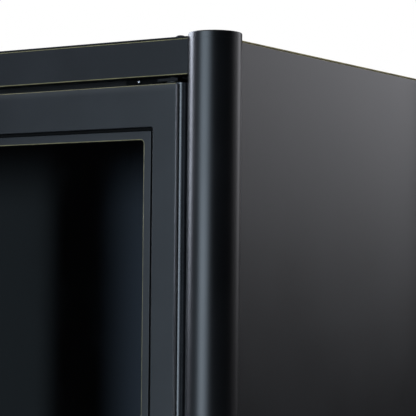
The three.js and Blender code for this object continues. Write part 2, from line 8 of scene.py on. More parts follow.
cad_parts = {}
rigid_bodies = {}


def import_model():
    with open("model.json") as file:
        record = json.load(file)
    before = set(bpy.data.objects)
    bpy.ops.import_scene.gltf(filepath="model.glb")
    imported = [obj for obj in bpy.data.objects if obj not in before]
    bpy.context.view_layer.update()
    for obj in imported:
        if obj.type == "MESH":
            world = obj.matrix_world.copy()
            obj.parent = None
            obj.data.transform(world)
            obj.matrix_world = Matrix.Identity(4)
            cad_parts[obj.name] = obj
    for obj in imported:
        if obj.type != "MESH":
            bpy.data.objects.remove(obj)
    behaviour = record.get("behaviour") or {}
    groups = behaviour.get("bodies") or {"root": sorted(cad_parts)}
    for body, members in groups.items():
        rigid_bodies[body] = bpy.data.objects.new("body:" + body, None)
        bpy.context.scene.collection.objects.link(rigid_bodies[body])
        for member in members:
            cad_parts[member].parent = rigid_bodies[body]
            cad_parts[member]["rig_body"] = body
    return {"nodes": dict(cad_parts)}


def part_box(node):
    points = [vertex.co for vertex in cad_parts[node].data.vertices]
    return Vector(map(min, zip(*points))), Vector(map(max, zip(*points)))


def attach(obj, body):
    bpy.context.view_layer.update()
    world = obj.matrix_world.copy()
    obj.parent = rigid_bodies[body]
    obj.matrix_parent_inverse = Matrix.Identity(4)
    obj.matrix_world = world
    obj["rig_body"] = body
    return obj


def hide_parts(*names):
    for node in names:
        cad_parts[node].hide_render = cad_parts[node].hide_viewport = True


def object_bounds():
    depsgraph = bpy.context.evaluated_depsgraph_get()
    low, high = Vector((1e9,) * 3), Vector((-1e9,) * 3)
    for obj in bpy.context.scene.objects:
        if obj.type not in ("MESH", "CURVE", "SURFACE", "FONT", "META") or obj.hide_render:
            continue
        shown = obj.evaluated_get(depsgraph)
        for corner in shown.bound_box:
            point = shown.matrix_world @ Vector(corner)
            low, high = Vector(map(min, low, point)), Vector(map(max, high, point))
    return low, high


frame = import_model()
cad_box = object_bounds()
scene = bpy.context.scene
MM = 0.001

# ---- Places, all from the frame ----
TOP_LOW, TOP_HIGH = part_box("top_panel")
DOOR_LOW, DOOR_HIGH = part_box("door_frame")
FRONT_Y = TOP_LOW.y
REAR_Y = TOP_HIGH.y
SIDE_X = TOP_HIGH.x
CABINET_TOP = TOP_HIGH.z
CORNERS = ("front_left", "front_right", "rear_left", "rear_right")


# ---- Camera: low, in front of the right-hand corner, looking a little up ----
CAMERA_FROM_CORNER = Vector((0.9124, -1.3846, -0.2320))
CAMERA_TURN = radians(33.47)
CAMERA_LIFT = radians(2.41)
CAMERA_ROLL = radians(0.53)
CAMERA_LENS = 155.1


def add_camera():
    data = bpy.data.cameras.new("camera")
    data.lens = CAMERA_LENS
    data.sensor_width = 36
    data.clip_end = 50
    camera = bpy.data.objects.new("camera", data)
    scene.collection.objects.link(camera)
    camera.location = Vector((SIDE_X, FRONT_Y, CABINET_TOP)) + CAMERA_FROM_CORNER
    ahead = Vector((
        -sin(CAMERA_TURN) * cos(CAMERA_LIFT),
        cos(CAMERA_TURN) * cos(CAMERA_LIFT),
        sin(CAMERA_LIFT),
    ))
    camera.rotation_mode = "QUATERNION"
    roll = Quaternion((0, 0, 1), CAMERA_ROLL)
    camera.rotation_quaternion = ahead.to_track_quat("-Z", "Y") @ roll
    scene.camera = camera


add_camera()


# ---- Node helpers ----
class Tree:
    """A node tree with short ways to add what the materials here need."""

    def __init__(self, owner):
        owner.use_nodes = True
        self.tree = owner.node_tree
        self.tree.nodes.clear()

    def add(self, kind, **settings):
        node = self.tree.nodes.new("ShaderNode" + kind)
        for name, value in settings.items():
            setattr(node, name, value)
        return node

    def link(self, source, target):
        self.tree.links.new(source, target)

    def put(self, socket, value):
        if hasattr(value, "is_output"):
            self.link(value, socket)
        else:
            socket.default_value = value

    def maths(self, operation, first, second=0.0):
        node = self.add("Math", operation=operation)
        self.put(node.inputs[0], first)
        self.put(node.inputs[1], second)
        return node.outputs[0]

    def ramp(self, value, low, high, out_low=0.0, out_high=1.0):
        node = self.add("MapRange", interpolation_type="SMOOTHSTEP")
        self.put(node.inputs["Value"], value)
        node.inputs["From Min"].default_value = low
        node.inputs["From Max"].default_value = high
        node.inputs["To Min"].default_value = out_low
        node.inputs["To Max"].default_value = out_high
        return node.outputs["Result"]

    def coordinates(self):
        return self.add("TexCoord").outputs["Object"]

    def axes(self, place):
        """The x, y and z of a place or a direction."""
        split = self.add("SeparateXYZ")
        self.link(place, split.inputs[0])
        return split.outputs

    def noise(self, coordinates, per_metre, detail):
        node = self.add("TexNoise")
        self.put(node.inputs["Vector"], coordinates)
        node.inputs["Scale"].default_value = per_metre
        node.inputs["Detail"].default_value = detail
        node.inputs["Roughness"].default_value = 0.55
        return node.outputs["Fac"]

    def mix(self, factor, first, second):
        node = self.add("Mix", data_type="RGBA")
        self.put(node.inputs[0], factor)
        self.put(node.inputs[6], first)
        self.put(node.inputs[7], second)
        return node.outputs[2]

    def bump(self, height, distance, strength, normal=None):
        node = self.add("Bump")
        node.inputs["Strength"].default_value = strength
        node.inputs["Distance"].default_value = distance
        self.link(height, node.inputs["Height"])
        if normal is not None:
            self.link(normal, node.inputs["Normal"])
        return node.outputs["Normal"]

    def surface(self, **sockets):
        shader = self.add("BsdfPrincipled")
        for name, value in sockets.items():
            self.put(shader.inputs[name.replace("_", " ")], value)
        output = self.add("OutputMaterial")
        self.link(shader.outputs[0], output.inputs["Surface"])


def rgb(red, green, blue):
    return (red, green, blue, 1.0)


# ---- Studio: white behind the camera's view, soft cards for reflections, an overhead light ----
# Each card is (azimuth from, to), (elevation from, to), colour; each limit is (angle, softness).
# Degrees: azimuth 0 is in front of the door, and grows towards the object's right-hand side.
CARDS = (
    (((-29.5, 13), (9, 26)), ((-9, 14), (15, 18)), (3.05, 3.75, 4.45)),
    (((-29.5, 13), (9, 26)), ((-70, 20), (60, 20)), (1.0, 1.2, 1.4)),
    (((-36.2, 1.8), (-34, 2)), ((-60, 10), (3.3, 2.5)), (0.29, 0.41, 0.58)),
    (((-60, 4), (-38.5, 1.0)), ((-60, 10), (3.3, 2.5)), (0.17, 0.22, 0.26)),
    (((-19, 8), (-7, 8)), ((-60, 10), (-1, 10)), (2.3, 2.4, 2.65)),
    (((-120, 20), (-90, 4)), ((4.0, 12), (38, 14)), (5.7, 6.1, 6.9)),
    (((-90, 4), (-81, 10)), ((4.0, 12), (38, 14)), (18.0, 19.4, 22.8)),
    (((121, 14), (166, 12)), ((3.5, 12), (38, 14)), (0.8, 0.8, 0.85)),
    (((153, 14), (166, 12)), ((3.5, 12), (38, 14)), (2.75, 2.75, 2.92)),
    (((166, 12), (190, 1)), ((3.5, 12), (38, 14)), (0.5, 0.5, 0.53)),
)
AMBIENT = (0.012, 0.013, 0.015)
LAMP_SIZE, LAMP_WATTS, LAMP_HEIGHT = 3, 120, 3.2
FLOOR_RADIUS = 2.6
FLOOR_FADES = (1.1, 2.5)  # the radii between which the floor fades into the white background


def add_world():
    world = bpy.data.worlds.new("studio")
    scene.world = world
    t = Tree(world)
    x, y, z = t.axes(t.add("TexCoord").outputs["Generated"])
    azimuth = t.maths("MULTIPLY", t.maths("ARCTAN2", x, t.maths("MULTIPLY", y, -1)), degrees(1))
    elevation = t.maths("MULTIPLY", t.maths("ARCSINE", z), degrees(1))

    def window(angle, limits):
        (start, soft_start), (end, soft_end) = limits
        rise = t.ramp(angle, start - soft_start / 2, start + soft_start / 2)
        fall = t.ramp(angle, end - soft_end / 2, end + soft_end / 2, 1, 0)
        return t.maths("MULTIPLY", rise, fall)

    total = AMBIENT
    for across, up, colour in CARDS:
        share = t.maths("MULTIPLY", window(azimuth, across), window(elevation, up))
        scaled = t.add("VectorMath", operation="SCALE")
        scaled.inputs[0].default_value = colour
        t.link(share, scaled.inputs["Scale"])
        summed = t.add("VectorMath", operation="ADD")
        t.put(summed.inputs[0], total)
        t.link(scaled.outputs[0], summed.inputs[1])
        total = summed.outputs[0]
    seen = t.add("Background")
    seen.inputs["Color"].default_value = rgb(1, 1, 1)
    lit = t.add("Background")
    t.link(total, lit.inputs["Color"])
    choose = t.add("MixShader")
    t.link(t.add("LightPath").outputs["Is Camera Ray"], choose.inputs[0])
    t.link(lit.outputs[0], choose.inputs[1])
    t.link(seen.outputs[0], choose.inputs[2])
    t.link(choose.outputs[0], t.add("OutputWorld").inputs["Surface"])


def add_lights():
    data = bpy.data.lights.new("overhead", "AREA")
    data.shape = "SQUARE"
    data.size = LAMP_SIZE
    data.energy = LAMP_WATTS
    lamp = bpy.data.objects.new("overhead", data)
    lamp.location = (0, 0, LAMP_HEIGHT)
    lamp.visible_glossy = False
    lamp.visible_camera = False
    scene.collection.objects.link(lamp)


def add_floor():
    bpy.ops.mesh.primitive_circle_add(vertices=96, radius=FLOOR_RADIUS, fill_type="NGON")
    floor = bpy.context.object
    floor.name = "studio_floor"
    material = bpy.data.materials.new("studio_floor")
    t = Tree(material)
    place = t.coordinates()
    grain = t.noise(place, 300, 2)
    colour = t.mix(grain, rgb(0.80, 0.80, 0.80), rgb(0.84, 0.84, 0.84))
    away = t.add("VectorMath", operation="LENGTH")
    t.link(place, away.inputs[0])
    t.surface(
        Base_Color=colour,
        Roughness=0.7,
        Alpha=t.ramp(away.outputs["Value"], *FLOOR_FADES, 1, 0),
    )
    floor.data.materials.append(material)
    floor.visible_glossy = False


add_world()
add_lights()
add_floor()
scene.view_settings.view_transform = "Standard"
scene.cycles.use_denoising = True


# ---- Materials ----
BARE_METAL = rgb(0.32, 0.285, 0.145)
# The lighter grey of the painted sheen beside worn edges
SHEEN_GREY = rgb(0.30, 0.29, 0.28)
# The grey of the painted highlight on the door frame's upright corners
HIGHLIGHT_GREY = rgb(0.60, 0.62, 0.67)
# The black of the liner's front rim: painted shade in the gap, and a black flange
DEEP_BLACK = rgb(0.0035, 0.0036, 0.004)
# How far the painted sheen reaches from a worn edge
SHEEN_REACH = 8 * MM
WORN_ROUGHNESS = 0.50
WORN_METALLIC = 0.6
HIGHLIGHT_METALLIC = 0.2
CORNER_HIGHLIGHT_TO = (1.4 * MM, 2.2 * MM)  # depths over which the corner's painted highlight fades
FLANK_REFLECTION_TO = (3.6 * MM, 4.6 * MM)  # the same for the flank's fainter painted reflection
FLANK_SHARE = 0.36
LOWEST_SHARE = 0.12  # of the corner's painted highlight, at the bottom of its height
DULLER_BY = 0.35  # roughness


def edge_distance(t, place, edge):
    """How far a point is from the outline of a rectangle that lies in a plane across X or Y.

    A fifth value in the edge is the radius of the rectangle's corners.
    """
    across, plane, (mid_u, half_u), (mid_z, half_z) = edge[:4]
    radius = edge[4] if len(edge) > 4 else 0.0
    x, y, z = t.axes(place)
    u, depth = (x, y) if across == "Y" else (y, x)

    def beyond(value, middle, half):
        off_middle = t.maths("ABSOLUTE", t.maths("SUBTRACT", value, middle))
        return t.maths("SUBTRACT", off_middle, half - radius)

    beyond_u = beyond(u, mid_u, half_u)
    beyond_z = beyond(z, mid_z, half_z)
    inside = t.maths("MINIMUM", t.maths("MAXIMUM", beyond_u, beyond_z), 0.0)
    outwards = t.add("CombineXYZ")
    t.link(t.maths("MAXIMUM", beyond_u, 0.0), outwards.inputs[0])
    t.link(t.maths("MAXIMUM", beyond_z, 0.0), outwards.inputs[1])
    outside = t.add("VectorMath", operation="LENGTH")
    t.link(outwards.outputs[0], outside.inputs[0])
    outline = t.maths("SUBTRACT", t.maths("ADD", inside, outside.outputs["Value"]), radius)
    both = t.add("CombineXYZ")
    t.link(outline, both.inputs[0])
    t.link(t.maths("SUBTRACT", depth, plane), both.inputs[1])
    length = t.add("VectorMath", operation="LENGTH")
    t.link(both.outputs[0], length.inputs[0])
    return length.outputs["Value"]


def painted(
    name,
    colour,
    roughness,
    worn=(),
    worn_width=1.1 * MM,
    worn_share=1.0,
    specular=0.5,
    painted_highlight=None,
    painted_sheen=0.0,
    dull_above=None,
):
    """Satin powder coat: fine orange peel, faint cloudiness, and edges rubbed to bare brassy metal.

    painted_sheen is the share of lighter grey paint beside the worn edges: a painted sheen.
    The paint is duller above dull_above.
    painted_highlight is (x, front y, low z, high z): painted grey highlights on the upright corners
    at plus and minus x, just behind the front, a fainter painted reflection on the flank behind
    them, and more of both from the low to the high z.
    """
    material = bpy.data.materials.new(name)
    t = Tree(material)
    place = t.coordinates()
    cloud = t.noise(place, 9, 4)
    peel = t.noise(place, 850, 2)
    speck = t.noise(place, 2600, 1)
    darker = tuple(c * 0.8 for c in colour)
    lighter = tuple(c * 1.25 for c in colour)
    tint = t.mix(t.ramp(cloud, 0.35, 0.65), rgb(*darker), rgb(*lighter))
    rough = t.maths("ADD", t.maths("MULTIPLY", cloud, 0.08), t.maths("MULTIPLY", speck, 0.06))
    rough = t.maths("ADD", rough, roughness - 0.07)
    metal = 0.0
    if worn:
        away = edge_distance(t, place, worn[0])
        for edge in worn[1:]:
            away = t.maths("MINIMUM", away, edge_distance(t, place, edge))
        line = t.ramp(away, worn_width * 0.45, worn_width, 1, 0)
        patchy = t.ramp(t.noise(place, 60, 3), 0.25, 0.6, 0.55, 1.0)
        # Painted sheen: the paint turns lighter grey beside the worn edges, fading out a few
        # millimetres away
        if painted_sheen:
            tint = t.mix(t.ramp(away, 0, SHEEN_REACH, painted_sheen, 0), tint, SHEEN_GREY)
        share = t.maths("MULTIPLY", t.maths("MULTIPLY", line, patchy), worn_share)
        tint = t.mix(share, tint, BARE_METAL)
        metal = t.maths("MULTIPLY", share, WORN_METALLIC)
        rough = t.maths("ADD", rough, t.maths("MULTIPLY", share, WORN_ROUGHNESS - roughness))
    # Painted highlight: the door frame's upright corners turn light grey, their flanks a little,
    # more towards the top
    if painted_highlight:
        edge_x, front_y, low, high = painted_highlight
        x, y, z = t.axes(place)
        outside = t.ramp(t.maths("ABSOLUTE", x), edge_x - 0.35 * MM, edge_x - 0.1 * MM)
        behind = t.maths("SUBTRACT", y, front_y)
        corner = t.ramp(behind, *CORNER_HIGHLIGHT_TO, 1, 0)
        height = t.ramp(z, low, high, LOWEST_SHARE, 1)
        flank = t.maths("MULTIPLY", t.ramp(behind, *FLANK_REFLECTION_TO, 1, 0), FLANK_SHARE)
        share = t.maths("MAXIMUM", t.maths("MULTIPLY", corner, height), flank)
        share = t.maths("MULTIPLY", share, outside)
        tint = t.mix(share, tint, HIGHLIGHT_GREY)
        metal = t.maths("ADD", metal, t.maths("MULTIPLY", share, HIGHLIGHT_METALLIC))
    if dull_above is not None:
        dull = t.ramp(t.axes(place)[2], dull_above - 0.1 * MM, dull_above, 0, DULLER_BY)
        rough = t.maths("ADD", rough, dull)
    normal = t.bump(peel, 0.05 * MM, 0.25)
    normal = t.bump(speck, 0.02 * MM, 0.2, normal)
    t.surface(
        Base_Color=tint, Roughness=rough, Metallic=metal, Normal=normal, Specular_IOR_Level=specular
    )
    return material


def plain_surface(
    name,
    dark,
    light,
    roughness,
    per_metre,
    bump=0.05 * MM,
    metallic=0.0,
    black_to=None,
    **constants,
):
    """A moulded or cast surface: fine grain in its colour, roughness and height.

    black_to is a depth, a y: the surface is black in front of it, as painted shade and as a black
    front flange. constants are more sockets.
    """
    material = bpy.data.materials.new(name)
    t = Tree(material)
    place = t.coordinates()
    grain = t.noise(place, per_metre, 4)
    cloud = t.noise(place, 12, 3)
    colour = t.mix(t.ramp(cloud, 0.3, 0.7), rgb(*dark), rgb(*light))
    # Painted shade: a black front rim, which darkens the gap under the header and stands for a
    # black flange too
    if black_to is not None:
        behind = t.ramp(t.axes(place)[1], black_to - 0.4 * MM, black_to + 0.4 * MM)
        colour = t.mix(behind, DEEP_BLACK, colour)
    rough = t.maths("ADD", t.maths("MULTIPLY", grain, 0.14), roughness - 0.07)
    t.surface(
        Base_Color=colour,
        Roughness=rough,
        Metallic=metallic,
        Normal=t.bump(grain, bump, 0.4),
        **constants,
    )
    return material


def zinc_sheet():
    """Galvanised steel with its pattern of crystals."""
    material = bpy.data.materials.new("zinc_sheet")
    t = Tree(material)
    place = t.coordinates()
    crystal = t.add("TexVoronoi")
    crystal.inputs["Scale"].default_value = 140
    t.link(place, crystal.inputs["Vector"])
    value = t.add("SeparateColor")
    t.link(crystal.outputs["Color"], value.inputs[0])
    facet = value.outputs[0]
    colour = t.mix(facet, rgb(0.50, 0.51, 0.53), rgb(0.60, 0.61, 0.62))
    rough = t.ramp(facet, 0, 1, 0.40, 0.50)
    normal = t.bump(facet, 0.004 * MM, 0.2)
    t.surface(Base_Color=colour, Roughness=rough, Metallic=1.0, Normal=normal)
    return material


def brushed(name, dark, light, roughness):
    """Bare metal with fine upright streaks."""
    material = bpy.data.materials.new(name)
    t = Tree(material)
    stretched = t.add("Mapping")
    stretched.inputs["Scale"].default_value = (1, 1, 0.04)
    t.link(t.coordinates(), stretched.inputs["Vector"])
    streak = t.noise(stretched.outputs[0], 1800, 3)
    colour = t.mix(streak, rgb(*dark), rgb(*light))
    rough = t.maths("ADD", t.maths("MULTIPLY", streak, 0.16), roughness - 0.08)
    normal = t.bump(streak, 0.01 * MM, 0.3)
    t.surface(Base_Color=colour, Roughness=rough, Metallic=1.0, Normal=normal)
    return material


def tinted_glass():
    """Smoked glass, very slightly smudged."""
    material = bpy.data.materials.new("tinted_glass")
    t = Tree(material)
    smudge = t.noise(t.coordinates(), 14, 5)
    t.surface(
        Base_Color=t.mix(smudge, rgb(0.030, 0.040, 0.045), rgb(0.036, 0.048, 0.053)),
        Roughness=t.ramp(smudge, 0.4, 0.7, 0.015, 0.05),
        IOR=1.52,
        Transmission_Weight=1.0,
    )
    return material


HEADER_LOW, HEADER_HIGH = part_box("header_rail")
WIDE = 10.0  # a half-width beyond the object, so that only the level edges of an outline count


def spread(low, high):
    """The middle and the half-width of a range."""
    return (low + high) / 2, (high - low) / 2


FLANGE_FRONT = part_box("inner_liner")[0].y
SIDE_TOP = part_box("side_panel_right")[1].z
HEADER_EDGES = (("Y", HEADER_LOW.y, (0.0, WIDE), spread(HEADER_LOW.z, HEADER_HIGH.z)),)
DOOR_EDGES = (("Y", DOOR_LOW.y, (0.0, WIDE), spread(DOOR_LOW.z, DOOR_HIGH.z)),)
SIDE_EDGES = tuple(("X", x, (0.0, WIDE), spread(-WIDE, SIDE_TOP)) for x in (-SIDE_X, SIDE_X))
TOP_EDGES = tuple(("X", x, (0.0, WIDE), spread(TOP_LOW.z, CABINET_TOP)) for x in (-SIDE_X, SIDE_X))
# Where the door's corners get their painted highlight: their x, the front, and the heights it grows
# between
DOOR_PAINTED_HIGHLIGHT = (DOOR_HIGH.x, DOOR_LOW.y, 500 * MM, 720 * MM)
PAINT = (0.0070, 0.0078, 0.0092)
POST_PAINT = (0.0030, 0.0033, 0.0039)
M = {
    "black_paint": painted("black_paint", PAINT, 0.30),
    "top_paint": painted("top_paint", PAINT, 0.66, TOP_EDGES, 1.3 * MM, 1.0, specular=0.2),
    "side_paint": painted("side_paint", PAINT, 0.30, SIDE_EDGES, 0.9 * MM, 0.5),
    "header_paint": painted(
        "header_paint", PAINT, 0.36, HEADER_EDGES, worn_share=0.6, specular=0.2
    ),
    "door_paint": painted(
        "door_paint",
        PAINT,
        0.34,
        DOOR_EDGES,
        worn_share=0.58,
        specular=0.32,
        painted_highlight=DOOR_PAINTED_HIGHLIGHT,
        # a painted sheen beside the door frame's worn edges
        painted_sheen=0.06,
    ),
    "handle_paint": painted("handle_paint", PAINT, 0.34),
    "post_paint": painted("post_paint", POST_PAINT, 0.33, dull_above=cad_box[1].z - 0.02 * MM),
    "bracket_paint": painted("bracket_paint", (0.0035, 0.0037, 0.0042), 0.5, specular=0.15),
    "compressor_paint": painted("compressor_paint", (0.012, 0.012, 0.013), 0.30),
    "zinc_sheet": zinc_sheet(),
    "fastener_steel": brushed("fastener_steel", (0.52, 0.53, 0.54), (0.70, 0.71, 0.72), 0.26),
    "shelf_wire": brushed("shelf_wire", (0.58, 0.59, 0.60), (0.68, 0.69, 0.70), 0.16),
    "spacer_aluminium": brushed("spacer_aluminium", (0.50, 0.51, 0.52), (0.62, 0.63, 0.64), 0.34),
    "tinted_glass": tinted_glass(),
    "seal_rubber": plain_surface("seal_rubber", (0.012,) * 3, (0.019,) * 3, 0.62, 900),
    "door_plastic": painted("door_plastic", (0.0110, 0.0123, 0.0150), 0.28, specular=0.85),
    # Its front rim is black: painted shade in the gap under the header, and a black front flange
    "liner_plastic": plain_surface(
        "liner_plastic",
        (0.020, 0.021, 0.023),
        (0.027, 0.028, 0.030),
        0.42,
        500,
        black_to=FLANGE_FRONT + 1.2 * MM,
    ),
    # Near black and barely reflecting: painted shade in the groove round the glass
    "shaded_gasket_rubber": plain_surface(
        "shaded_gasket_rubber", (0.0016,) * 3, (0.0024,) * 3, 0.66, 900, Specular_IOR_Level=0.07
    ),
    "control_plastic": plain_surface("control_plastic", (0.018,) * 3, (0.024,) * 3, 0.48, 1400),
    "lens_plastic": plain_surface(
        "lens_plastic", (0.74, 0.76, 0.77), (0.82, 0.84, 0.85), 0.30, 300
    ),
    "bush_plastic": plain_surface("bush_plastic", (0.020,) * 3, (0.026,) * 3, 0.46, 900),
    "evaporator_coat": plain_surface(
        "evaporator_coat", (0.30, 0.31, 0.32), (0.36, 0.37, 0.38), 0.46, 500, 0.04 * MM, 0.15
    ),
    "insulation_foam": plain_surface(
        "insulation_foam", (0.60, 0.47, 0.22), (0.78, 0.66, 0.38), 0.88, 700, 0.6 * MM
    ),
    "copper_pipe": brushed("copper_pipe", (0.52, 0.20, 0.10), (0.72, 0.34, 0.19), 0.30),
}


# ---- Mesh helpers ----
def shade(mesh, sharp=35):
    """Smooth shading, with the edges that turn by more than sharp degrees left crisp."""
    bm = bmesh.new()
    bm.from_mesh(mesh)
    for face in bm.faces:
        face.smooth = True
    for edge in bm.edges:
        if len(edge.link_faces) == 2:
            edge.smooth = edge.calc_face_angle() < radians(sharp)
    bm.to_mesh(mesh)
    bm.free()


def place_piece(name, mesh, material, body, *nodes, sharp=35, weighted=False):
    """One piece of the visual model: it rides on a body and may stand for CAD nodes."""
    shade(mesh, sharp)
    piece = bpy.data.objects.new(name, mesh)
    scene.collection.objects.link(piece)
    mesh.materials.clear()
    mesh.materials.append(M[material])
    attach(piece, body)
    if nodes:
        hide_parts(*nodes)
    if weighted:
        modifier = piece.modifiers.new("even_faces", "WEIGHTED_NORMAL")
        modifier.keep_sharp = True
        modifier.weight = 90
    return piece


def finished(bm, name):
    bmesh.ops.recalc_face_normals(bm, faces=bm.faces)
    mesh = bpy.data.meshes.new(name)
    bm.to_mesh(mesh)
    bm.free()
    return mesh


def once(*corners):
    """The corners without repeats, in order: a ring of one point gives triangles."""
    return list(dict.fromkeys(corners))


def turned_mesh(name, profile, steps):
    """A shape turned about Z. The profile's points are (radius, height); it closes on itself."""
    bm = bmesh.new()
    rings = []
    for radius, height in profile:
        if radius < 1e-7:
            rings.append([bm.verts.new((0, 0, height))])
            continue
        ring = []
        for i in range(steps):
            angle = 2 * pi * i / steps
            ring.append(bm.verts.new((radius * cos(angle), radius * sin(angle), height)))
        rings.append(ring)
    for a, b in zip(rings, rings[1:] + rings[:1]):
        if len(a) == 1 and len(b) == 1:
            continue
        for i in range(steps):
            j = (i + 1) % steps
            bm.faces.new(once(a[i % len(a)], a[j % len(a)], b[j % len(b)], b[i % len(b)]))
    return finished(bm, name)


def stand(name, profile, steps, material, node, sharp=35):
    """A shape turned about a CAD node's upright middle line, in its place."""
    mesh = turned_mesh(name, profile, steps)
    middle = middle_of(node)
    mesh.transform(Matrix.Translation((middle.x, middle.y, 0)))
    place_piece(name, mesh, material, body_of(node), node, sharp=sharp, weighted=True)


def arc(centre, radius, start, end, steps=6):
    """Points on an arc, (across, up), from angle start to end in degrees."""
    points = []
    for i in range(steps + 1):
        angle = radians(start + (end - start) * i / steps)
        points.append((centre[0] + radius * cos(angle), centre[1] + radius * sin(angle)))
    return points


def middle_of(node):
    low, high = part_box(node)
    return (low + high) / 2


def body_of(node):
    return frame["nodes"][node]["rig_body"]


def refined(node, radius, material, sharp=35):
    """A copy of a CAD node with its flat faces merged and its crisp edges rounded."""
    bm = bmesh.new()
    bm.from_mesh(frame["nodes"][node].data)
    bmesh.ops.remove_doubles(bm, verts=bm.verts, dist=2e-6)
    bmesh.ops.dissolve_limit(bm, angle_limit=radians(0.5), verts=bm.verts, edges=bm.edges)
    crisp = [e for e in bm.edges if len(e.link_faces) == 2 and e.calc_face_angle() > radians(30)]
    bmesh.ops.bevel(
        bm,
        geom=crisp,
        offset=radius,
        offset_type="OFFSET",
        segments=3,
        profile=0.5,
        affect="EDGES",
        clamp_overlap=True,
    )
    name = f"{node}_fine"
    mesh = bpy.data.meshes.new(name)
    bm.to_mesh(mesh)
    bm.free()
    place_piece(name, mesh, material, body_of(node), node, sharp=sharp, weighted=True)


# ---- Posts, caps and feet ----
POST_WALL = 1.5 * MM
FOOT_HOLE = 5.3 * MM  # the radius of the hole in the floor of a post
FOOT_STEM = 5 * MM
FOOT_THREAD = 12.6 * MM  # the height that its thread starts at
THREAD_PITCH = 1.5 * MM


def add_corner(corner):
    """A corner's post, its cap and its foot."""
    low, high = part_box(f"post_{corner}")
    radius = (high.x - low.x) / 2
    lip = 0.06 * MM
    z0, z1 = low.z, high.z
    tube = [
        (FOOT_HOLE, z0),
        *arc((radius - lip, z0 + lip), lip, -90, 0),
        *arc((radius - lip, z1 - lip), lip, 0, 90),
        (radius - POST_WALL, z1),
        (radius - POST_WALL, z0 + 4 * MM),
        (FOOT_HOLE, z0 + 4 * MM),
    ]
    stand(f"post_{corner}_tube", tube, 128, "post_paint", f"post_{corner}")

    cap_low, cap_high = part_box(f"post_cap_{corner}")
    seat = z1 + 0.04 * MM
    top = cap_high.z
    round_edge = 1.2 * MM
    plug = radius - POST_WALL - 0.3 * MM
    cap = [
        (0, cap_low.z),
        (plug, cap_low.z),
        (plug, seat),
        *arc((radius - lip, seat + lip), lip, -90, 0, 3),
        *arc((radius - round_edge, top - round_edge), round_edge, 0, 90, 10),
        (0, top),
    ]
    stand(f"post_cap_{corner}_turned", cap, 128, "post_paint", f"post_cap_{corner}")

    pad_low, pad_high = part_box(f"foot_{corner}")
    pad = (pad_high.x - pad_low.x) / 2
    foot = [
        (0, 0),
        *arc((pad - 1.5 * MM, 1.5 * MM), 1.5 * MM, -90, 0, 5),
        *arc((pad - 2 * MM, 4 * MM), 2 * MM, 0, 70, 5),
        (pad / 2 + 0.5 * MM, 7 * MM),
        (pad / 2, 7.6 * MM),
        (pad / 2, 12 * MM),
        (FOOT_STEM, 12 * MM),
    ]
    z = FOOT_THREAD
    while z < pad_high.z - THREAD_PITCH:
        foot += [(FOOT_STEM, z), (FOOT_STEM - 0.6 * MM, z + 0.6 * MM), (FOOT_STEM, z + 1.2 * MM)]
        z += THREAD_PITCH
    foot += [(FOOT_STEM - 0.8 * MM, pad_high.z), (0, pad_high.z)]
    stand(f"foot_{corner}_threaded", foot, 48, "control_plastic", f"foot_{corner}")


for corner in CORNERS:
    add_corner(corner)


# ---- Outer sheets ----
refined("top_panel", 0.4 * MM, "top_paint")
refined("header_rail", 0.55 * MM, "header_paint")
refined("kick_rail", 0.5 * MM, "black_paint")
for side in ("left", "right"):
    refined(f"side_panel_{side}", 0.45 * MM, "side_paint")
refined("rear_panel", 0.3 * MM, "zinc_sheet")
refined("base_pan", 0.4 * MM, "zinc_sheet")
refined("bay_plate", 0.3 * MM, "zinc_sheet")


# ---- Door rings ----
def ring_of(node):
    """A ring node's outer and inner rectangles, (x0, x1, z0, z1), and its y range."""
    low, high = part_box(node)
    points = [v.co for v in frame["nodes"][node].data.vertices]
    middle = (low + high) / 2
    half_x = min(abs(p.x - middle.x) for p in points)
    inner_low = max(p.z for p in points if p.z < middle.z)
    inner_high = min(p.z for p in points if p.z > middle.z)
    outer = (low.x, high.x, low.z, high.z)
    inner = (middle.x - half_x, middle.x + half_x, inner_low, inner_high)
    return outer, inner, (low.y, high.y)


def outline_points(rectangle, inset, radius):
    """The corners of a rectangle moved in by inset, each an arc if there is a radius."""
    x0, x1, z0, z1 = rectangle
    x0, x1, z0, z1 = x0 + inset, x1 - inset, z0 + inset, z1 - inset
    if radius is None:
        return ((x0, z0), (x1, z0), (x1, z1), (x0, z1))
    r = max(radius - inset, 0.05 * MM)
    points = arc((x0 + r, z0 + r), r, 180, 270)
    points += arc((x1 - r, z0 + r), r, 270, 360)
    points += arc((x1 - r, z1 - r), r, 0, 90)
    return points + arc((x0 + r, z1 - r), r, 90, 180)


def swept(name, outer, inner, section, radii=(None, None)):
    """A section carried round two rectangles. Its points are ("out" or "in", inset from there, y).

    radii are the outer and inner rectangle's corner radii: both or neither.
    """
    bm = bmesh.new()
    loops = []
    for edge, inset, y in section:
        rectangle, radius = (outer, radii[0]) if edge == "out" else (inner, radii[1])
        loops.append([bm.verts.new((x, y, z)) for x, z in outline_points(rectangle, inset, radius)])
    count = len(loops[0])
    for a, b in zip(loops, loops[1:] + loops[:1]):
        for i in range(count):
            j = (i + 1) % count
            bm.faces.new((a[i], a[j], b[j], b[i]))
    return finished(bm, name)


def swept_ring(name, node, section, material, sharp=35, radii=(None, None)):
    """A section carried round a ring node, in its place."""
    outer, inner, _ = ring_of(node)
    mesh = swept(name, outer, inner, section, radii)
    return place_piece(name, mesh, material, body_of(node), node, sharp=sharp, weighted=True)


def rounded_section(node, outer, inner, steps):
    """A ring's section with its front edges rounded to radii and its back edges eased."""
    y0, y1 = ring_of(node)[2]
    back = 0.3 * MM
    points = [("out", x, y) for x, y in arc((outer, y0 + outer), outer, 180, 270, steps)]
    points += [("in", x, y) for x, y in arc((-inner, y0 + inner), inner, 270, 360, steps)]
    points += [("in", 0.0, y1 - back), ("in", -back, y1)]
    points += [("out", back, y1), ("out", 0.0, y1 - back)]
    return points


